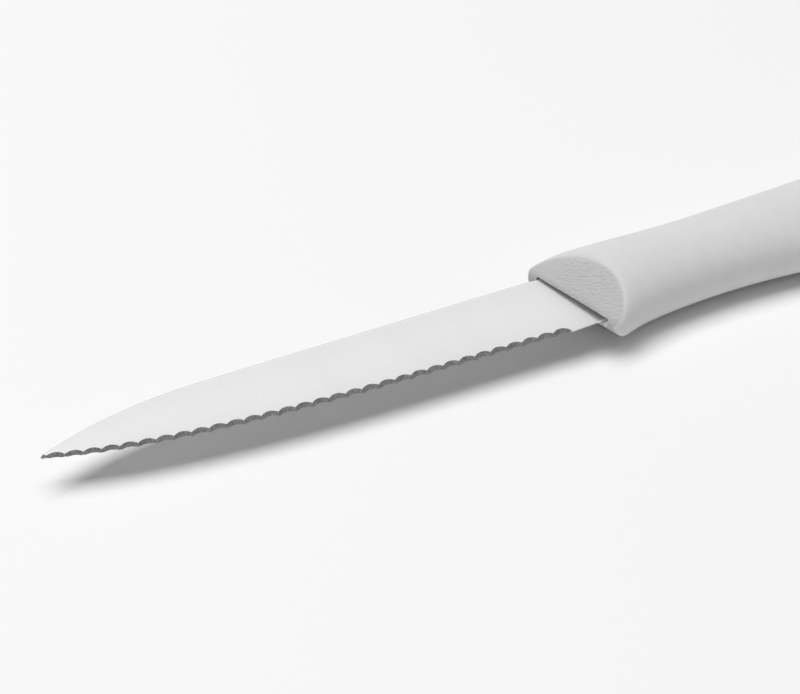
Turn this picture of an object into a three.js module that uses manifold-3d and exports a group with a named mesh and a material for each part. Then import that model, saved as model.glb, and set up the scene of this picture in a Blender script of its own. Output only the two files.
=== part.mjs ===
// A serrated paring knife: a flat-ground steel blade whose tang is locked inside a moulded plastic grip.
// It lies on its side with the serrated face up: the tip points to -X, the edge to -Y and the spine to +Y.
import * as THREE from 'three';
import { mergeVertices } from 'three/addons/utils/BufferGeometryUtils.js';
import Module from 'manifold-3d';

// All sizes are millimetres and degrees. While it is drawn, the tip is at x = 0, the line of the
// tooth points is y = 0 and the middle of the blade's thickness is z = 0.

// Blade outline
const bladeLength = 100; // from the tip to the heel at the grip
const spineHeight = 14.6; // spine above the tooth points, where the blade enters the grip
const spineFall = 1.5; // the spine drops this much on its straight run from the grip
const spineBend = 30.6; // from the tip to where the spine starts to curve down
const spineTurn = 13.7; // from the tip to the corner that the spine's curve rounds off
const tipHeight = 6.6; // tip above the tooth points
const tipBlunt = 0.3; // height of the blade's end at the tip
const edgeStraight = 35; // straight run of the edge in front of the heel
const edgeTurn = 18.9; // from the tip to the corner that the edge's sweep rounds off
const heelDrop = 0.8; // plain edge below the tooth points, before it rises to the grip
const heelRun = 9; // length over which it rises
const heelLift = 0.64; // how much it rises
const plainHeel = 6.6; // length of plain edge between the last tooth and the grip

// Blade section
const stockThickness = 1.4; // strip that the blade is stamped from
const edgeThickness = 0.32; // left at the edge by the flat grind
const flankCrown = 0.03; // how far each ground flank bulges above a straight line
const crownShare = 0.15; // share of the blade's height, from the edge, where it bulges most

// Serrations, ground on the upper side only
const toothPitch = 3;
const scallopDepth = 0.62; // each hollow above the line of the tooth points, on the face
const bevelAngle = 27; // between the ground hollows and the blade
const endSlant = 30; // of the steep wall that ends the last hollow, where the plain heel begins

// Tang inside the grip
const rootDepth = 3.2; // full-height root behind the front of the grip
const grindRunOut = 1.6; // the flat grind ends this far behind the front of the grip
const tangAboveEdge = 4; // lower side of the tang above the tooth points
const tangBelowSpine = 2.1; // upper side of the tang below the spine
const tangLength = 58; // behind the heel
const lockHole = 4.5; // holes that the plastic fills
const lockHoleFirst = 20; // behind the heel
const lockHoleGap = 24; // between the holes
const seatClearance = 0.3; // between the steel and the plastic on every side
const mouthClearance = 0.45; // the same on each side of the edge, in the mouth of the socket

// Grip outline: rises are measured from the blade's spine and drops from its heel. Places are measured
// back from the slanted front, or forward from the butt.
const gripLength = 110;
const frontRise = 2.45; // front corner on the spine side
const saddleAt = 22;
const saddleRise = 2.15; // lowest part of the spine side
const crownFromButt = 40;
const crownRise = 5; // highest part of the spine side
const shoulderFromButt = 16;
const shoulderRise = 3.4;
const buttRise = 0.6;
const guardDrop = 3.4; // finger guard in front of the first finger
const fingerAt = 9;
const fingerDrop = 0.2; // belly at the first finger
const waistAt = 22;
const waistRise = 1.45;
const archAt = 40;
const archRise = 1.3;
const swellFromButt = 44;
const swellDrop = 2.5; // palm swell
const tailFromButt = 18;
const tailDrop = 1.4;
const buttDrop = 0.4;
const buttRound = 9; // length over which the butt rounds off

// Grip section
const frontHalf = 6.9; // half thickness just behind the front
const frontHalfEnd = 10; // it stays so thick up to here
const waistHalf = 6.45;
const waistHalfAt = 27;
const swellHalf = 6.9;
const tailHalf = 6.3;
const sectionPower = 2.2; // 2 is an ellipse, more is squarer

// Grip front: two slanted faces that meet in a rounded nose around the blade
const frontSlant = 19.2; // slant of the front seen from the side
const frontLean = 45; // each face leans back from the blade's middle
const noseRadius = 2.5;
const topCorner = 0.9; // rounding of the front corner on the spine side
const guardCorner = 1.9; // rounding of the finger guard's corner
const sideRim = 18; // sharpness of the rim between the front faces and the sides
const endRim = 5; // the same towards the spine side and the guard

// Fineness of the faceted surfaces, and working sizes
const bladeSteps = 26;
const noseSteps = 4;
const faceSteps = 15;
const gripSteps = 22;
const buttSteps = 8;
const gripSides = 56;
const scallopSides = 72;
const holeSides = 24;
const cutterSpare = 2; // how far a cutting shape reaches past what it cuts
const rimRun = 3.5; // how far the rim's rounding runs on behind the front faces
const weldDistance = 1e-5; // points closer than this are one point

const wasm = await Module();
wasm.setup();
const rad = THREE.MathUtils.degToRad;

function solidOf(geometry) {
  const bare = geometry.clone();
  bare.deleteAttribute('normal');
  bare.deleteAttribute('uv');
  const merged = mergeVertices(bare, weldDistance);
  const vertProperties = Float32Array.from(merged.attributes.position.array);
  const triVerts = Uint32Array.from(merged.index.array);
  return new wasm.Manifold(new wasm.Mesh({ numProp: 3, vertProperties, triVerts }));
}

function geometryOf(solid) {
  const { vertProperties, triVerts } = solid.getMesh();
  const geometry = new THREE.BufferGeometry();
  geometry.setAttribute('position', new THREE.BufferAttribute(vertProperties, 3));
  geometry.setIndex(new THREE.BufferAttribute(triVerts, 1));
  geometry.computeVertexNormals();
  return geometry;
}

// A skin over rings of points that turn from +Y to +Z, one after another towards +X, closed at both ends.
function loft(rings) {
  const sides = rings[0].length;
  const middle = (ring) => ring.reduce((sum, p) => sum.add(p), new THREE.Vector3()).divideScalar(sides);
  const points = [...rings.flat(), middle(rings[0]), middle(rings.at(-1))];
  const startPole = rings.length * sides;
  const endPole = startPole + 1;
  const lastRing = startPole - sides;
  const index = [];
  for (let side = 0; side < sides; side++) {
    const next = (side + 1) % sides;
    for (let ring = 0; ring < lastRing; ring += sides) {
      index.push(ring + side, ring + next, ring + sides + side);
      index.push(ring + next, ring + sides + next, ring + sides + side);
    }
    index.push(startPole, next, side);
    index.push(endPole, lastRing + side, lastRing + next);
  }
  return new THREE.BufferGeometry().setFromPoints(points).setIndex(index);
}

// An outline drawn in X and Y, given a thickness that lies half above and half below the middle of the blade.
function plate(shape, thickness) {
  return new THREE.ExtrudeGeometry(shape, { depth: thickness, bevelEnabled: false, curveSegments: holeSides })
    .translate(0, 0, -thickness / 2);
}

// The front of the grip is a slanted line, further forward at the spine than at the heel.
const slantRun = Math.tan(rad(frontSlant));
const frontX = (y) => bladeLength - (y + heelDrop) * slantRun;
const behindFront = (y, back) => new THREE.Vector2(frontX(y) + back, y);
const spineEnd = behindFront(spineHeight, rootDepth);

// Blade: a ruled loft between the edge curve and the spine curve, thin at the edge and thicker to the spine.
function edgePath(startX, drop, tipDrop) {
  const path = new THREE.CurvePath();
  const bend = new THREE.Vector2(bladeLength - edgeStraight, -drop);
  const turn = new THREE.Vector2(edgeTurn, -drop);
  const tip = new THREE.Vector2(0, tipHeight - tipDrop);
  path.add(new THREE.LineCurve(new THREE.Vector2(startX, -drop), bend));
  path.add(new THREE.QuadraticBezierCurve(bend, turn, tip));
  return path;
}

function spinePath() {
  const path = new THREE.CurvePath();
  const bend = new THREE.Vector2(spineBend, spineHeight - spineFall);
  const slope = (spineEnd.y - bend.y) / (spineEnd.x - bend.x);
  const turn = new THREE.Vector2(spineTurn, bend.y - (spineBend - spineTurn) * slope);
  path.add(new THREE.LineCurve(spineEnd, bend));
  path.add(new THREE.QuadraticBezierCurve(bend, turn, new THREE.Vector2(0, tipHeight)));
  return path;
}

function groundBlade() {
  const edge = edgePath(bladeLength + rootDepth, heelDrop, tipBlunt).getSpacedPoints(bladeSteps).reverse();
  const spine = spinePath().getSpacedPoints(bladeSteps).reverse();
  const grind = (stockThickness - edgeThickness) / 2 / (spineHeight + heelDrop);
  const thin = edgeThickness / 2;
  const rings = edge.map((low, step) => {
    const high = spine[step];
    low.y += heelLift * THREE.MathUtils.clamp((low.x - bladeLength + heelRun) / heelRun, 0, 1);
    const rise = grind * low.distanceTo(high);
    const crown = low.clone().lerp(high, crownShare);
    const crownHalf = thin + rise * crownShare + flankCrown;
    return [
      new THREE.Vector3(high.x, high.y, thin + rise),
      new THREE.Vector3(crown.x, crown.y, crownHalf),
      new THREE.Vector3(low.x, low.y, thin),
      new THREE.Vector3(low.x, low.y, -thin),
      new THREE.Vector3(crown.x, crown.y, -crownHalf),
      new THREE.Vector3(high.x, high.y, -thin - rise),
    ];
  });
  return solidOf(loft(rings));
}

// Serrations: a row of hollows is cut along the line of the tooth points by cylinders that lie at the
// bevel angle, so that each leaves an arc on the face and a thin sharp edge. The hollow next to the heel
// ends in a steep wall.
function scallopCutters() {
  const bevel = rad(bevelAngle);
  const sag = scallopDepth * Math.sin(bevel);
  const radius = (toothPitch ** 2 / 4 + sag ** 2) / (2 * sag);
  const length = 2 * (scallopDepth + heelDrop + cutterSpare) / Math.cos(bevel);
  const face = edgeThickness / 2 + flankCrown;
  const path = edgePath(bladeLength - plainHeel, 0, 0);
  const run = path.getLength();
  const cutters = [];
  for (let at = toothPitch / 2; at - toothPitch / 2 < run; at += toothPitch) {
    const share = Math.min(at / run, 1);
    const tangent = path.getTangentAt(share);
    const outward = new THREE.Vector3(-tangent.y, tangent.x, 0);
    const middle = path.getPointAt(share).addScaledVector(tangent, at - share * run);
    const down = outward.clone().multiplyScalar(Math.cos(bevel)).setZ(-Math.sin(bevel));
    const up = outward.clone().multiplyScalar(Math.sin(bevel)).setZ(Math.cos(bevel));
    const apex = new THREE.Vector3(middle.x, middle.y, face).addScaledVector(outward, -scallopDepth);
    const turn = new THREE.Matrix4().makeBasis(up.clone().cross(down).negate(), down, up).setPosition(apex);
    const cylinder = new THREE.CylinderGeometry(radius, radius, length, scallopSides).translate(0, 0, radius);
    cutters.push(solidOf(cylinder.applyMatrix4(turn)));
  }
  const slant = rad(endSlant);
  const wall = [-Math.cos(slant), -Math.sin(slant), 0];
  cutters[0] = cutters[0].trimByPlane(wall, (plainHeel - bladeLength) * Math.cos(slant));
  return cutters;
}

// Tang: the root and tang as one flat plate. The same outline, grown by the clearance, is the socket
// in the grip, where the lock holes become posts.
function tangShape(grow, front) {
  const backGrow = grow / Math.cos(rad(frontSlant));
  const rootLow = heelLift - heelDrop - grow;
  const rootHigh = spineHeight + grow;
  const rear = rootDepth + backGrow;
  const low = tangAboveEdge - grow;
  const high = spineHeight - tangBelowSpine + grow;
  const endRadius = (high - low) / 2;
  const endX = bladeLength + tangLength + grow - endRadius;
  const shape = new THREE.Shape([
    behindFront(rootHigh, front),
    behindFront(rootLow, front),
    behindFront(rootLow, rear),
    behindFront(low, rear),
    new THREE.Vector2(endX, low),
  ]);
  shape.absarc(endX, low + endRadius, endRadius, -Math.PI / 2, Math.PI / 2);
  shape.lineTo(frontX(high) + rear, high);
  shape.lineTo(frontX(rootHigh) + rear, rootHigh);
  for (const behind of [lockHoleFirst, lockHoleFirst + lockHoleGap]) {
    const hole = new THREE.Path();
    hole.absarc(bladeLength + behind, low + endRadius, lockHole / 2 - grow, 0, 2 * Math.PI, true);
    shape.holes.push(hole);
  }
  return shape;
}

function makeBlade() {
  let steel = groundBlade();
  for (const cutter of scallopCutters()) {
    steel = steel.subtract(cutter);
  }
  return steel.add(solidOf(plate(tangShape(0, grindRunOut), stockThickness)));
}

// Grip: rounded sections along a spine-side line and a belly line. At the front the sections are slanted
// and thinned to a nose by the two leaning faces, and at the back they shrink to a rounded butt.
function curveThrough(points) {
  const places = points.map(([behind]) => behind);
  const heights = points.map(([, height]) => height);
  const curve = new THREE.CubicInterpolant(places, heights, 1);
  return (behind) => curve.evaluate(behind)[0];
}

const spineSide = curveThrough([
  [0, spineHeight + frontRise],
  [saddleAt, spineHeight + saddleRise],
  [gripLength - crownFromButt, spineHeight + crownRise],
  [gripLength - shoulderFromButt, spineHeight + shoulderRise],
  [gripLength, spineHeight + buttRise],
]);
const bellySide = curveThrough([
  [0, -heelDrop - guardDrop],
  [fingerAt, -heelDrop - fingerDrop],
  [waistAt, -heelDrop + waistRise],
  [archAt, -heelDrop + archRise],
  [gripLength - swellFromButt, -heelDrop - swellDrop],
  [gripLength - tailFromButt, -heelDrop - tailDrop],
  [gripLength, -heelDrop - buttDrop],
]);
const halfThickness = curveThrough([
  [0, frontHalf],
  [frontHalfEnd, frontHalf],
  [waistHalfAt, waistHalf],
  [gripLength - swellFromButt, swellHalf],
  [gripLength, tailHalf],
]);

// Half thickness that the rounded nose and the leaning faces leave, at a distance square to the front.
const lean = rad(frontLean);
const noseEnd = noseRadius * (1 - Math.cos(lean));

function noseHalf(distance) {
  if (distance < noseEnd) {
    return Math.sqrt(distance * (2 * noseRadius - distance));
  }
  return noseRadius * Math.sin(lean) + (distance - noseEnd) / Math.tan(lean);
}

function roundCorner(distance, radius) {
  const short = Math.max(radius - distance, 0);
  return radius - Math.sqrt(radius ** 2 - short ** 2);
}

const squareToFront = Math.cos(rad(frontSlant));
const bulged = (value) => Math.sign(value) * Math.abs(value) ** (2 / sectionPower);

function gripRing(behind, shrink) {
  const distance = behind * squareToFront;
  const high = spineSide(behind) - roundCorner(distance, topCorner);
  const low = bellySide(behind) + roundCorner(distance, guardCorner);
  const slant = slantRun * (1 - behind / gripLength);
  const nose = noseHalf(distance);
  const ring = [];
  for (let side = 0; side < gripSides; side++) {
    const angle = 2 * Math.PI * (side + 0.5) / gripSides;
    const y = (high + low + shrink * bulged(Math.cos(angle)) * (high - low)) / 2;
    const full = shrink * halfThickness(behind) * bulged(Math.sin(angle));
    const rim = THREE.MathUtils.lerp(endRim, sideRim, Math.sin(angle) ** 2);
    const z = full * (1 + Math.abs(full / nose) ** rim) ** (-1 / rim);
    ring.push(new THREE.Vector3(bladeLength + behind - (y + heelDrop) * slant, y, z));
  }
  return ring;
}

function gripBody() {
  const faceEnd = (noseEnd + frontHalf * Math.tan(lean) + rimRun) / squareToFront;
  const roundStart = gripLength - buttRound;
  const rings = [];
  for (let step = 1; step <= noseSteps; step++) {
    rings.push(gripRing(noseRadius * (1 - Math.cos(lean * step / noseSteps)) / squareToFront, 1));
  }
  for (let step = 1; step <= faceSteps; step++) {
    rings.push(gripRing(THREE.MathUtils.lerp(noseEnd / squareToFront, faceEnd, step / faceSteps), 1));
  }
  for (let step = 1; step <= gripSteps; step++) {
    rings.push(gripRing(THREE.MathUtils.lerp(faceEnd, roundStart, step / gripSteps), 1));
  }
  for (let step = 1; step < buttSteps; step++) {
    const turn = Math.PI / 2 * step / buttSteps;
    rings.push(gripRing(roundStart + buttRound * Math.sin(turn), Math.cos(turn)));
  }
  return solidOf(loft(rings));
}

// The mouth of the socket narrows towards the edge, as the blade does.
function socketMouth() {
  const low = heelLift - heelDrop - seatClearance;
  const high = spineHeight + seatClearance;
  const lowHalf = edgeThickness / 2 + mouthClearance;
  const highHalf = stockThickness / 2 + seatClearance;
  const rings = [-rootDepth, grindRunOut].map((back) => [
    new THREE.Vector3(frontX(high) + back, high, highHalf),
    new THREE.Vector3(frontX(low) + back, low, lowHalf),
    new THREE.Vector3(frontX(low) + back, low, -lowHalf),
    new THREE.Vector3(frontX(high) + back, high, -highHalf),
  ]);
  return solidOf(loft(rings));
}

function makeGrip() {
  const seat = tangShape(seatClearance, grindRunOut - seatClearance);
  const socket = solidOf(plate(seat, stockThickness + 2 * seatClearance));
  return gripBody().subtract(socket).subtract(socketMouth());
}

function piece(name, solid, finish) {
  const mesh = new THREE.Mesh(geometryOf(solid), new THREE.MeshStandardMaterial(finish));
  mesh.name = name;
  return mesh;
}

const knife = new THREE.Group();
knife.add(piece('blade', makeBlade(), { color: 0xd6d7d8, roughness: 0.35, metalness: 1 }));
knife.add(piece('handle', makeGrip(), { color: 0xe6e6e4, roughness: 0.55, metalness: 0 }));

// The knife rests on its side, with the origin under the middle of its box.
const box = new THREE.Box3().setFromObject(knife);
const middle = box.getCenter(new THREE.Vector3());
knife.position.set(-middle.x, -middle.y, -box.min.z);

export default knife;
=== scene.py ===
import math

import bmesh
import bpy
from mathutils import Matrix, Vector
from mathutils.geometry import interpolate_bezier


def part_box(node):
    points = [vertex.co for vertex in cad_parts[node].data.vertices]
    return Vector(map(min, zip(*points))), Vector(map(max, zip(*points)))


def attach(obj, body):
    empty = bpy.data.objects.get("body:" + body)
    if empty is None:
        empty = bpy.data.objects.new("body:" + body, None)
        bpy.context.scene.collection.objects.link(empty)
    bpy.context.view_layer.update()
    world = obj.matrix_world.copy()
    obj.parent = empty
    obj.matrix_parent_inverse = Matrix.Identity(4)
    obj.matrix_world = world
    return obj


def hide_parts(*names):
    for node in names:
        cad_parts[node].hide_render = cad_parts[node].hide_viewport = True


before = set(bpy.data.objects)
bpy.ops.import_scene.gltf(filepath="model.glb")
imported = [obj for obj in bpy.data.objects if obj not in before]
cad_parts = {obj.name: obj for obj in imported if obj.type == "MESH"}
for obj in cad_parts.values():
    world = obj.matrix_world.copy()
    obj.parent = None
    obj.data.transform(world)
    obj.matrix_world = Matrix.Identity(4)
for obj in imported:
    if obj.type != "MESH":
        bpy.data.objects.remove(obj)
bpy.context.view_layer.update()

# Blade
# One strip of stainless steel, stamped to its outline and ground flat on both sides, but not on the spine.
# A row of hollows is ground into the upper side of the edge. The root and the narrower tang run back into
# the grip, where plastic fills the two holes in the tang. It is drawn from the tip.
blade_length = 0.100
spine_height = 0.0146
spine_fall = 0.0015
spine_bend = 0.0306
spine_turn = 0.0137
tip_height = 0.0066
tip_blunt = 0.0003
edge_straight = 0.035
edge_turn = 0.0189
heel_drop = 0.0008
heel_run = 0.009
heel_lift = 0.00064
plain_heel = 0.0066
stock = 0.0014
edge_thickness = 0.00032
flank_crown = 0.00003
crown_share = 0.15
flank_shares = (0.6, 0.35, crown_share, 0)
spine_ease = 0.0003
edge_facing = -0.8
spine_facing = 0.1
tooth_pitch = 0.003
scallop_depth = 0.00062
bevel_angle = math.radians(27)
end_slant = math.radians(30)
root_depth = 0.0032
grind_run_out = 0.0016
tang_low = 0.004
tang_high = spine_height - 0.0021
tang_length = 0.058
tang_rounding = 0.49
lock_holes = (0.020, 0.044)
lock_hole_radius = 0.00225
front_slant = math.tan(math.radians(19.2))
blade_crease = math.radians(20)
blade_steps = 80
curve_steps = 60
ease_steps = 5
wheel_sides = 112
post_sides = 48
tang_end_steps = 12
ground_finish = 1
stamped_finish = 2
spare = 0.002
weld = 1e-6
blade_low, blade_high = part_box("blade")
drawn_from = Vector(
    (
        blade_high.x - blade_length - tang_length,
        blade_high.y - spine_height,
        (blade_low.z + blade_high.z) / 2,
    )
)


def behind_front(y, back):
    """A point of the slanted front of the grip, or this far behind it."""
    return Vector((blade_length - (y + heel_drop) * front_slant + back, y))


def along(line, distance):
    """The point this far along a line and the direction there. Past its end the line runs straight on."""
    for start, end in zip(line, line[1:]):
        step = end - start
        if distance <= step.length or end is line[-1]:
            return start + step.normalized() * distance, step.normalized()
        distance -= step.length


def length_of(line):
    return sum((end - start).length for start, end in zip(line, line[1:]))


def spaced(line, steps):
    return [along(line, length_of(line) * step / steps)[0] for step in range(steps + 1)]


def swept(start, bend, turn, tip):
    """A straight run from the start to the bend and a curve from there to the tip."""
    pull = 2 / 3
    return [start, *interpolate_bezier(bend, bend.lerp(turn, pull), tip.lerp(turn, pull), tip, curve_steps)]


def edge_line(start_x, drop, blunt):
    bend = Vector((blade_length - edge_straight, -drop))
    turn = Vector((edge_turn, -drop))
    return swept(Vector((start_x, -drop)), bend, turn, Vector((0, tip_height - blunt)))


def spine_line():
    start = behind_front(spine_height, root_depth)
    bend = Vector((spine_bend, spine_height - spine_fall))
    slope = (start.y - bend.y) / (start.x - bend.x)
    turn = Vector((spine_turn, bend.y - (spine_bend - spine_turn) * slope))
    return swept(start, bend, turn, Vector((0, tip_height)))


def blade_ring(low, high):
    """One section of the ground blade, from the spine's wall round the upper side, the edge and back."""
    height = (high - low).length
    across = (low - high).normalized()
    thin = edge_thickness / 2
    rise = height * (stock - edge_thickness) / 2 / (spine_height + heel_drop)
    ease = min(spine_ease, (thin + rise) / 2, height / 8)
    profile = []
    for step in range(ease_steps + 1):
        turn = math.pi / 2 * step / ease_steps
        profile.append((ease * (1 - math.cos(turn)), thin + rise - ease * (1 - math.sin(turn))))
    for share in (1 - 2 * ease / height, *flank_shares):
        bulge = min((1 - share) / (1 - crown_share), share / crown_share)
        profile.append((height * (1 - share), thin + rise * share + flank_crown * bulge))
    upper = [(high + across * down, z) for down, z in profile]
    lower = [(place, -z) for place, z in reversed(upper)]
    return [(place.x, place.y, z) for place, z in upper + lower]


def loft(rings):
    """A skin over rings of points, grown from one ring to the next."""
    shape = bmesh.new()
    loop = bmesh.ops.create_circle(shape, segments=len(rings[0]), radius=1.0)["verts"]
    edges = list(shape.edges)
    for number, ring in enumerate(rings):
        if number:
            grown = bmesh.ops.extrude_edge_only(shape, edges=edges)["geom"]
            edges = [item for item in grown if isinstance(item, bmesh.types.BMEdge)]
            fresh = {item for item in grown if isinstance(item, bmesh.types.BMVert)}
            loop = [
                next(edge.other_vert(vert) for edge in vert.link_edges if edge.other_vert(vert) in fresh)
                for vert in loop
            ]
        for vert, place in zip(loop, ring):
            vert.co = place
    bmesh.ops.remove_doubles(shape, verts=shape.verts, dist=weld)
    bmesh.ops.holes_fill(shape, edges=shape.edges, sides=0)
    bmesh.ops.recalc_face_normals(shape, faces=shape.faces)
    return shape


def ground_blade():
    lows = spaced(edge_line(blade_length + root_depth, heel_drop, tip_blunt), blade_steps)
    highs = spaced(spine_line(), blade_steps)
    rings = []
    for low, high in zip(lows, highs):
        climb = (low.x - blade_length + heel_run) / heel_run
        low = low + Vector((0, heel_lift * max(0.0, min(1.0, climb))))
        rings.append(blade_ring(low, high))
    shape = loft(rings)
    for face in shape.faces:
        if face.normal.y < edge_facing:
            face.material_index = ground_finish
        elif face.normal.y > spine_facing:
            face.material_index = stamped_finish
    return shape


def scallop_cutters():
    """A cylinder at the bevel angle for each hollow. The first is cut off and leaves a steep wall."""
    sag = scallop_depth * math.sin(bevel_angle)
    radius = (tooth_pitch**2 / 4 + sag**2) / (2 * sag)
    depth = 2 * (scallop_depth + heel_drop + spare) / math.cos(bevel_angle)
    line = edge_line(blade_length - plain_heel, 0, 0)
    for tooth in range(math.ceil(length_of(line) / tooth_pitch)):
        point, tangent = along(line, tooth_pitch * (tooth + 0.5))
        outward = Vector((-tangent.y, tangent.x, 0))
        upward = Vector((0, 0, 1))
        down = outward * math.cos(bevel_angle) - upward * math.sin(bevel_angle)
        up = outward * math.sin(bevel_angle) + upward * math.cos(bevel_angle)
        apex = point.to_3d() + upward * (edge_thickness / 2 + flank_crown) - outward * scallop_depth
        turn = Matrix.Translation(apex) @ Matrix((up.cross(down), up, down)).transposed().to_4x4()
        wheel = bmesh.new()
        bmesh.ops.create_cone(
            wheel,
            cap_ends=True,
            segments=wheel_sides,
            radius1=radius,
            radius2=radius,
            depth=depth,
            matrix=turn @ Matrix.Translation((0, radius, 0)),
        )
        if tooth == 0:
            bmesh.ops.bisect_plane(
                wheel,
                geom=[*wheel.verts, *wheel.edges, *wheel.faces],
                plane_co=line[0].to_3d(),
                plane_no=(math.cos(end_slant), math.sin(end_slant), 0),
                clear_outer=True,
            )
            bmesh.ops.holes_fill(wheel, edges=wheel.edges, sides=0)
        for face in wheel.faces:
            face.material_index = ground_finish
        yield "DIFFERENCE", wheel


def tang_plate(grow, front):
    """The root and tang as one flat plate, grown on every side."""
    low, high = tang_low - grow, tang_high + grow
    root_low, root_high = heel_lift - heel_drop - grow, spine_height + grow
    rear = root_depth + grow
    end = blade_length + tang_length + grow
    outline = [
        behind_front(root_high, front),
        behind_front(root_low, front),
        behind_front(root_low, rear),
        behind_front(low, rear),
        Vector((end, low)),
        Vector((end, high)),
        behind_front(high, rear),
        behind_front(root_high, rear),
    ]
    thickness = stock + 2 * grow
    plate = bmesh.new()
    base = plate.faces.new([plate.verts.new((*corner, -thickness / 2)) for corner in outline])
    raised = bmesh.ops.extrude_face_region(plate, geom=[base])["geom"]
    top = [item for item in raised if isinstance(item, bmesh.types.BMVert)]
    bmesh.ops.translate(plate, verts=top, vec=(0, 0, thickness))
    far = [edge for edge in plate.edges if all(abs(vert.co.x - end) < weld for vert in edge.verts)]
    upright = [edge for edge in far if abs(edge.verts[0].co.z - edge.verts[1].co.z) > weld]
    bmesh.ops.bevel(
        plate,
        geom=upright,
        offset=(high - low) * tang_rounding,
        segments=tang_end_steps,
        profile=0.5,
        affect="EDGES",
        material=-1,
    )
    bmesh.ops.recalc_face_normals(plate, faces=plate.faces)
    return plate


def lock_posts(radius, length):
    posts = bmesh.new()
    for behind in lock_holes:
        place = Matrix.Translation((blade_length + behind, (tang_low + tang_high) / 2, 0))
        bmesh.ops.create_cone(
            posts,
            cap_ends=True,
            segments=post_sides,
            radius1=radius,
            radius2=radius,
            depth=length,
            matrix=place,
        )
    return posts


def mesh_of(shape, name):
    mesh = bpy.data.meshes.new(name)
    shape.to_mesh(mesh)
    shape.free()
    return mesh


def add_piece(name, mesh, *finishes):
    piece = bpy.data.objects.new(name, mesh)
    bpy.context.scene.collection.objects.link(piece)
    if not mesh.materials:
        for finish in finishes:
            mesh.materials.append(finish)
    return piece


def carved(name, shape, tools, crease, *finishes):
    """A piece of the knife, after each tool is cut out of the shape or joined to it."""
    work = add_piece(name, mesh_of(shape, name), *finishes)
    helpers = []
    for operation, tool in tools:
        helper = add_piece(name + "_tool", mesh_of(tool, name + "_tool"), *finishes)
        helpers.append(helper)
        step = work.modifiers.new("carve", "BOOLEAN")
        step.operation = operation
        step.solver = "EXACT"
        step.object = helper
    bpy.context.view_layer.update()
    mesh = bpy.data.meshes.new_from_object(work.evaluated_get(bpy.context.evaluated_depsgraph_get()))
    for spent in [work, *helpers]:
        bpy.data.objects.remove(spent)
    mesh.transform(Matrix.Translation(drawn_from))
    mesh.shade_smooth()
    mesh.set_sharp_from_angle(angle=crease)
    return add_piece(name, mesh, *finishes)


def new_finish(name):
    finish = bpy.data.materials.new(name)
    finish.use_nodes = True
    nodes = finish.node_tree.nodes
    return finish, nodes, finish.node_tree.links, nodes["Principled BSDF"]


def stretched_noise(nodes, links, lengths, scale, detail, turn=(0.0, 0.0, 0.0)):
    """Noise whose spots have these relative lengths along the turned axes."""
    place = nodes.new("ShaderNodeTexCoord")
    mapping = nodes.new("ShaderNodeMapping")
    mapping.vector_type = "TEXTURE"
    mapping.inputs["Rotation"].default_value = turn
    mapping.inputs["Scale"].default_value = lengths
    noise = nodes.new("ShaderNodeTexNoise")
    noise.inputs["Scale"].default_value = scale
    noise.inputs["Detail"].default_value = detail
    links.new(place.outputs["Object"], mapping.inputs["Vector"])
    links.new(mapping.outputs["Vector"], noise.inputs["Vector"])
    return noise.outputs["Fac"]


def spread(nodes, links, value, low, high):
    """Noise turned into values from the low one to the high one. Noise seldom leaves its middle range."""
    noise_low = 0.3
    noise_high = 0.7
    span = nodes.new("ShaderNodeMapRange")
    span.inputs["From Min"].default_value = noise_low
    span.inputs["From Max"].default_value = noise_high
    span.inputs["To Min"].default_value = low
    span.inputs["To Max"].default_value = high
    links.new(value, span.inputs["Value"])
    return span.outputs["Result"]


def grey(nodes, links, level):
    colour = nodes.new("ShaderNodeCombineColor")
    for channel in ("Red", "Green", "Blue"):
        links.new(level, colour.inputs[channel])
    return colour.outputs["Color"]


def bump(nodes, links, height, distance, below=None):
    relief = nodes.new("ShaderNodeBump")
    relief.inputs["Distance"].default_value = distance
    links.new(height, relief.inputs["Height"])
    if below is not None:
        links.new(below, relief.inputs["Normal"])
    return relief.outputs["Normal"]


def satin_steel():
    finish, nodes, links, shader = new_finish("satin_steel")
    shader.inputs["Metallic"].default_value = 1.0
    lines = stretched_noise(nodes, links, lengths=(1.0, 80.0, 1.0), scale=14000.0, detail=2.0)
    clouds = stretched_noise(nodes, links, lengths=(1.0, 2.5, 1.0), scale=120.0, detail=2.0)
    level = spread(nodes, links, clouds, low=0.79, high=0.81)
    links.new(grey(nodes, links, level), shader.inputs["Base Color"])
    links.new(spread(nodes, links, lines, low=0.27, high=0.29), shader.inputs["Roughness"])
    links.new(bump(nodes, links, lines, distance=0.00000006), shader.inputs["Normal"])
    return finish


def ground_and_shaded_steel():
    finish, nodes, links, shader = new_finish("ground_and_shaded_steel")
    shader.inputs["Metallic"].default_value = 1.0
    lines = stretched_noise(nodes, links, lengths=(1.0, 2.5, 2.5), scale=4500.0, detail=2.0)
    # The hollows and edge walls get a speckled base colour, darker overall than the satin flanks. The
    # speckle is grinding marks, and the lower overall level is painted shade.
    level = spread(nodes, links, lines, low=0.50, high=0.90)
    links.new(grey(nodes, links, level), shader.inputs["Base Color"])
    links.new(spread(nodes, links, lines, low=0.28, high=0.38), shader.inputs["Roughness"])
    links.new(bump(nodes, links, lines, distance=0.000003), shader.inputs["Normal"])
    return finish


def stamped_steel():
    finish, nodes, links, shader = new_finish("stamped_steel")
    shader.inputs["Metallic"].default_value = 1.0
    marks = stretched_noise(nodes, links, lengths=(1.0, 1.0, 6.0), scale=3000.0, detail=2.0)
    level = spread(nodes, links, marks, low=0.42, high=0.50)
    links.new(grey(nodes, links, level), shader.inputs["Base Color"])
    links.new(spread(nodes, links, marks, low=0.34, high=0.42), shader.inputs["Roughness"])
    links.new(bump(nodes, links, marks, distance=0.000002), shader.inputs["Normal"])
    return finish


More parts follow.
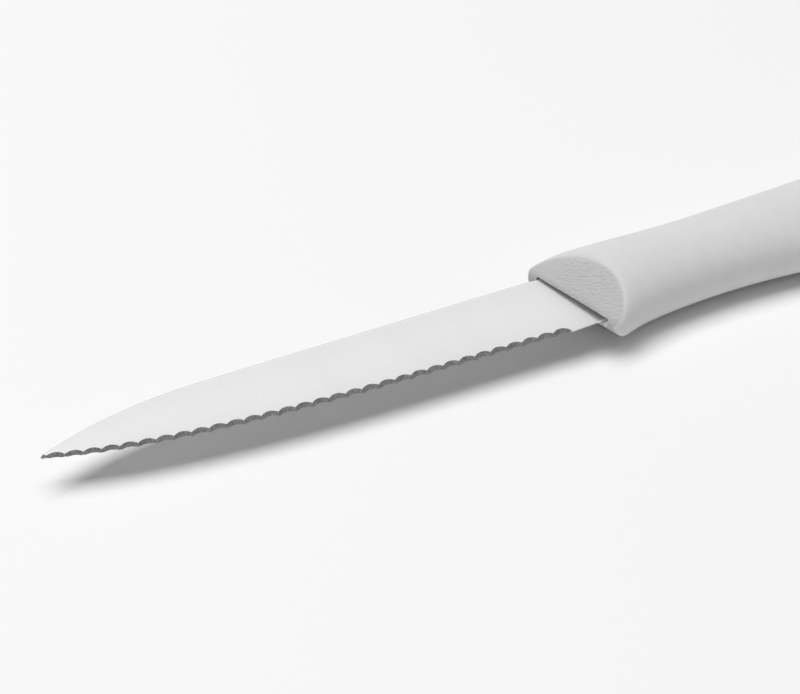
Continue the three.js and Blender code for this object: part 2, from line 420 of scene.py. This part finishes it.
blade = carved(
    "satin_blade",
    ground_blade(),
    [
        *scallop_cutters(),
        ("UNION", tang_plate(0, grind_run_out)),
        ("DIFFERENCE", lock_posts(lock_hole_radius, stock + spare)),
    ],
    blade_crease,
    satin_steel(),
    ground_and_shaded_steel(),
    stamped_steel(),
)
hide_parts("blade")
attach(blade, "root")

# Handle
# A one-piece grip of stiff matte plastic, moulded around the tang, with a finger guard, a palm swell
# and a rounded butt. Two grained front faces lean back from the blade and meet in a rounded nose.
# Posts inside pass through the holes of the tang and hold it.
grip_length = 0.110
front_half = 0.0069
front_lean = math.radians(45)
nose_radius = 0.0025
top_corner = 0.0009
guard_corner = 0.0019
side_rim = 18
spine_rim = 5
guard_rim = 2.2
section_power = 2.2
butt_round = 0.009
rim_run = 0.0035
grip_crease = math.radians(35)
sides = 128
seat_gap = 0.0003
mouth_gap_edge = 0.0001
mouth_gap_spine = 0.00005
mouth_lip_edge = 0.0009
mouth_lip_spine = 0.0004
mouth_drop = 0.0011
mouth_fit = 0.0001
lip_turn = math.radians(75)
square_to_front = math.cos(math.atan(front_slant))
nose_end = nose_radius * (1 - math.cos(front_lean))


def line_through(*stations):
    """A smooth line through places behind the front and the heights there."""
    pairs = list(zip(stations, stations[1:]))
    slopes = [(high - low) / (end - start) for (start, low), (end, high) in pairs]
    leaning = [(before + after) / 2 for before, after in zip(slopes, slopes[1:])]
    tangents = [slopes[0], *leaning, slopes[-1]]

    def height(behind):
        last = len(pairs) - 1
        span = next((number for number in range(last) if behind < stations[number + 1][0]), last)
        (start, low), (end, high) = pairs[span]
        run = end - start
        share = (behind - start) / run
        rise = (3 - 2 * share) * share * share
        leave = (share - 1) ** 2 * share * run * tangents[span]
        arrive = (share - 1) * share * share * run * tangents[span + 1]
        return low + (high - low) * rise + leave + arrive

    return height


spine_side = line_through(
    (0.0, spine_height + 0.00245),
    (0.022, spine_height + 0.00215),
    (grip_length - 0.040, spine_height + 0.0050),
    (grip_length - 0.016, spine_height + 0.0034),
    (grip_length, spine_height + 0.0006),
)
belly_side = line_through(
    (0.0, -heel_drop - 0.0034),
    (0.009, -heel_drop - 0.0002),
    (0.022, -heel_drop + 0.00145),
    (0.040, -heel_drop + 0.0013),
    (grip_length - 0.044, -heel_drop - 0.0025),
    (grip_length - 0.018, -heel_drop - 0.0014),
    (grip_length, -heel_drop - 0.0004),
)
half_thickness = line_through(
    (0.0, front_half),
    (0.010, front_half),
    (0.027, 0.00645),
    (grip_length - 0.044, 0.0069),
    (grip_length, 0.0063),
)


def nose_half(distance):
    """Half thickness that the nose and the leaning faces leave, square to the front."""
    if distance < nose_end:
        return math.sqrt(distance * (2 * nose_radius - distance))
    return nose_radius * math.sin(front_lean) + (distance - nose_end) / math.tan(front_lean)


def round_corner(distance, radius):
    short = max(radius - distance, 0.0)
    return radius - math.sqrt(radius * radius - short * short)


def bulged(value):
    return math.copysign(abs(value) ** (2 / section_power), value)


def grip_ring(behind, shrink):
    distance = behind * square_to_front
    high = spine_side(behind) - round_corner(distance, top_corner)
    low = belly_side(behind) + round_corner(distance, guard_corner)
    slant = front_slant * (1 - behind / grip_length)
    nose = nose_half(distance)
    places = []
    for side in range(sides):
        angle = 2 * math.pi * (side + 0.5) / sides
        y = (high + low + shrink * bulged(math.cos(angle)) * (high - low)) / 2
        full = shrink * half_thickness(behind) * bulged(math.sin(angle))
        end_rim = spine_rim if math.cos(angle) > 0 else guard_rim
        rim = end_rim + (side_rim - end_rim) * math.sin(angle) ** 2
        z = full * (1 + (abs(full) / nose) ** rim) ** (-1 / rim) if nose > weld else 0.0
        places.append((blade_length + behind - (y + heel_drop) * slant, y, z))
    return places


def grip_rings():
    """Sections from the nose over the front faces and along the body, shrinking round the butt."""
    nose_steps, face_steps, body_steps, butt_steps = 8, 56, 60, 24
    face_start = nose_end / square_to_front
    face_end = (nose_end + front_half * math.tan(front_lean) + rim_run) / square_to_front
    round_start = grip_length - butt_round
    for step in range(nose_steps):
        turn = front_lean * step / nose_steps
        yield grip_ring(nose_radius * (1 - math.cos(turn)) / square_to_front, 1.0)
    for step in range(face_steps):
        yield grip_ring(face_start + (face_end - face_start) * step / face_steps, 1.0)
    for step in range(body_steps):
        yield grip_ring(face_end + (round_start - face_end) * step / body_steps, 1.0)
    for step in range(butt_steps + 1):
        turn = math.pi / 2 * step / butt_steps
        yield grip_ring(round_start + butt_round * math.sin(turn), math.cos(turn))


def lip(half, radius, share):
    """How far behind the front a point of the rounded lip lies, and how much it widens the mouth."""
    turn = lip_turn * share
    widest = half + radius * (1 - math.cos(lip_turn))
    set_back = nose_radius - math.sqrt(nose_radius**2 - widest**2)
    return (set_back + radius * (1 - math.sin(turn))) / square_to_front, radius * (1 - math.cos(turn))


def socket_mouth():
    """The mouth of the socket, with a rounded lip. It narrows towards the edge as the blade does."""
    lip_steps = 8
    half_spine = stock / 2 + mouth_gap_spine
    half_edge = edge_thickness / 2 + mouth_gap_edge
    ends = [((grind_run_out, 0.0), (grind_run_out, 0.0))]
    for step in range(lip_steps + 1):
        share = step / lip_steps
        ends.append((lip(half_spine, mouth_lip_spine, share), lip(half_edge, mouth_lip_edge, share)))
    ends.append([(back - spare, widening + spare * math.tan(lip_turn)) for back, widening in ends[-1]])
    rings = []
    for (spine_back, spine_widening), (edge_back, edge_widening) in ends:
        high = behind_front(spine_height + mouth_fit, spine_back)
        low = behind_front(heel_lift - heel_drop - mouth_drop, edge_back)
        thick_high = half_spine + spine_widening
        thick_low = half_edge + edge_widening
        rings.append(
            [
                (high.x, high.y, thick_high),
                (low.x, low.y, thick_low),
                (low.x, low.y, -thick_low),
                (high.x, high.y, -thick_high),
            ]
        )
    return loft(rings)


def matte_plastic():
    wrinkle_run = Vector((0.643, -0.66, 0.39))
    wrinkle_turn = wrinkle_run.to_track_quat("X", "Z").to_euler()
    wrinkle_lengths = (1.8, 1.0, 1.0)
    even = (1.0, 1.0, 1.0)
    finish, nodes, links, shader = new_finish("matte_plastic")
    mottle = stretched_noise(nodes, links, lengths=even, scale=260.0, detail=3.0)
    peel = stretched_noise(nodes, links, lengths=even, scale=2600.0, detail=2.0)
    grain = stretched_noise(
        nodes, links, lengths=wrinkle_lengths, scale=3000.0, detail=2.0, turn=wrinkle_turn
    )
    front = nodes.new("ShaderNodeAttribute")
    front.attribute_name = "front_face"
    grained = nodes.new("ShaderNodeAttribute")
    grained.attribute_name = "front_grain"
    deep = nodes.new("ShaderNodeMath")
    deep.operation = "MULTIPLY"
    links.new(spread(nodes, links, grain, low=-0.14, high=0.14), deep.inputs[0])
    links.new(grained.outputs["Fac"], deep.inputs[1])
    # The front faces get a darker base colour. Part of it is the duller look of their grain, and part is
    # painted shade that offsets the soft box leaning in from the tip side.
    duller_and_shaded = nodes.new("ShaderNodeMapRange")
    duller_and_shaded.inputs["To Min"].default_value = 1.0
    duller_and_shaded.inputs["To Max"].default_value = 0.825
    links.new(front.outputs["Fac"], duller_and_shaded.inputs["Value"])
    level = nodes.new("ShaderNodeMath")
    level.operation = "MULTIPLY"
    links.new(spread(nodes, links, mottle, low=0.68, high=0.705), level.inputs[0])
    links.new(duller_and_shaded.outputs["Result"], level.inputs[1])
    links.new(grey(nodes, links, level.outputs["Value"]), shader.inputs["Base Color"])
    links.new(spread(nodes, links, peel, low=0.46, high=0.56), shader.inputs["Roughness"])
    smooth = bump(nodes, links, peel, distance=0.000004)
    wrinkled = bump(nodes, links, deep.outputs["Value"], distance=0.00035, below=smooth)
    links.new(wrinkled, shader.inputs["Normal"])
    shader.inputs["IOR"].default_value = 1.46
    return finish


handle = carved(
    "moulded_handle",
    loft(list(grip_rings())),
    [
        ("DIFFERENCE", tang_plate(seat_gap, grind_run_out - seat_gap)),
        ("DIFFERENCE", socket_mouth()),
        ("UNION", lock_posts(lock_hole_radius - seat_gap, stock + 4 * seat_gap)),
    ],
    grip_crease,
    matte_plastic(),
)
grain_edge = 0.00022
grain_fade = 0.00006
grain_start = 0.0145
grain_full = 0.0085
grain_least = 0.3
# front_face marks the front faces, whose base colour is darkened, partly as painted shade.
face_share = handle.data.attributes.new("front_face", "FLOAT", "POINT")
grain_share = handle.data.attributes.new("front_grain", "FLOAT", "POINT")
for vert, face, grain in zip(handle.data.vertices, face_share.data, grain_share.data):
    x, y, z = vert.co - drawn_from
    distance = (x - behind_front(y, 0).x) * square_to_front
    short = nose_half(max(distance, 0.0)) - abs(z)
    face.value = max(0.0, min(1.0, (grain_edge + grain_fade - short) / (2 * grain_fade)))
    growth = max(0.0, min(1.0, (grain_start - y) / (grain_start - grain_full)))
    grain.value = face.value * (grain_least + (1 - grain_least) * growth)
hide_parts("handle")
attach(handle, "root")

# Floor
# A wide pale sheet of matt board that the knife lies on. It is flat, and it takes the shadow of the knife
# without any gloss of its own.
floor_half = 4.0
pale = 0.93
floor_shape = bmesh.new()
bmesh.ops.create_grid(floor_shape, x_segments=1, y_segments=1, size=floor_half)
floor_finish, *_, floor_shader = new_finish("pale_floor")
floor_shader.inputs["Base Color"].default_value = (pale, pale, pale, 1.0)
floor_shader.inputs["Roughness"].default_value = 1.0
floor_shader.inputs["Specular IOR Level"].default_value = 0.0
floor_piece = add_piece("floor", mesh_of(floor_shape, "floor"), floor_finish)

# Light
# One wide soft box above the knife, longer along it and leaning in from the side of the tip, and a dim
# even room. The camera sees a pale backdrop. The steel sees a front wall that is about as pale, a brighter
# back wall, and a dim ceiling between them.
white = (1.0, 1.0, 1.0, 1.0)
room_level = 0.25
front_wall_level = 0.95
back_wall_level = 1.18
ceiling_level_tip = 0.20
ceiling_level_butt = 0.18
lamp_data = bpy.data.lights.new("soft_box", "AREA")
lamp_data.shape = "RECTANGLE"
lamp_data.size = 4.5
lamp_data.size_y = 1.6
lamp_data.energy = 105.0
lamp = bpy.data.objects.new("soft_box", lamp_data)
lamp.location = (-1.5, 0.27, 3.0)
lamp.rotation_euler = (0.0, math.radians(26), 0.0)
lamp.visible_glossy = False
lamp.visible_camera = False
bpy.context.scene.collection.objects.link(lamp)

world = bpy.data.worlds.new("pale_room")
world.use_nodes = True
world.cycles.sampling_method = "NONE"
bpy.context.scene.world = world
room_nodes = world.node_tree.nodes
room_links = world.node_tree.links
room = room_nodes["Background"]
room.inputs["Color"].default_value = white
room.inputs["Strength"].default_value = room_level
mirrored = room_nodes.new("ShaderNodeBackground")
mirrored.inputs["Color"].default_value = white
backdrop = room_nodes.new("ShaderNodeBackground")
backdrop.inputs["Color"].default_value = white
backdrop.inputs["Strength"].default_value = pale
direction = room_nodes.new("ShaderNodeTexCoord")
parts = room_nodes.new("ShaderNodeSeparateXYZ")
room_links.new(direction.outputs["Generated"], parts.inputs["Vector"])


def room_maths(operation, first, second):
    node = room_nodes.new("ShaderNodeMath")
    node.operation = operation
    for socket, value in zip(node.inputs, (first, second)):
        room_links.new(value, socket)
    return node.outputs["Value"]


def room_fade(value, start, end, low, high):
    fade = room_nodes.new("ShaderNodeMapRange")
    fade.interpolation_type = "SMOOTHSTEP"
    fade.inputs["From Min"].default_value = start
    fade.inputs["From Max"].default_value = end
    fade.inputs["To Min"].default_value = low
    fade.inputs["To Max"].default_value = high
    room_links.new(value, fade.inputs["Value"])
    return fade.outputs["Result"]


def room_choice(share, first, second):
    choice = room_nodes.new("ShaderNodeMixShader")
    room_links.new(share, choice.inputs["Fac"])
    room_links.new(first.outputs[0], choice.inputs[1])
    room_links.new(second.outputs[0], choice.inputs[2])
    return choice


sideways = room_maths("MULTIPLY", parts.outputs["Y"], parts.outputs["Y"])
between_walls = room_fade(sideways, start=0.50, end=0.06, low=0.0, high=1.0)
overhead = room_fade(parts.outputs["Z"], start=0.05, end=0.35, low=0.0, high=1.0)
ceiling = room_maths("MULTIPLY", between_walls, overhead)
dim = room_fade(parts.outputs["X"], start=-0.1, end=0.6, low=ceiling_level_tip, high=ceiling_level_butt)
walls = room_fade(parts.outputs["Y"], start=-0.3, end=0.3, low=front_wall_level, high=back_wall_level)
reflected = room_nodes.new("ShaderNodeMix")
reflected.data_type = "FLOAT"
room_links.new(ceiling, reflected.inputs["Factor"])
room_links.new(walls, reflected.inputs["A"])
room_links.new(dim, reflected.inputs["B"])
room_links.new(reflected.outputs["Result"], mirrored.inputs["Strength"])
rays = room_nodes.new("ShaderNodeLightPath")
in_gloss = room_maths("MAXIMUM", rays.outputs["Is Glossy Ray"], rays.outputs["Is Transmission Ray"])
unseen = room_choice(in_gloss, room, mirrored)
shown = room_choice(rays.outputs["Is Camera Ray"], unseen, backdrop)
room_links.new(shown.outputs["Shader"], room_nodes["World Output"].inputs["Surface"])
bpy.context.scene.view_settings.view_transform = "Standard"

# Camera
# A long lens that looks down on the blade from the side of the edge, past the tip. The butt of the grip
# lies outside its view.
camera_data = bpy.data.cameras.new("camera")
camera_data.lens = 121.27
camera_data.sensor_width = 36
camera = bpy.data.objects.new("camera", camera_data)
camera.location = drawn_from + Vector((-0.08864, -0.31953, 0.28378))
camera.rotation_euler = (math.radians(51.89), 0, math.radians(-25.14))
bpy.context.scene.collection.objects.link(camera)
bpy.context.scene.camera = camera

bpy.context.view_layer.update()
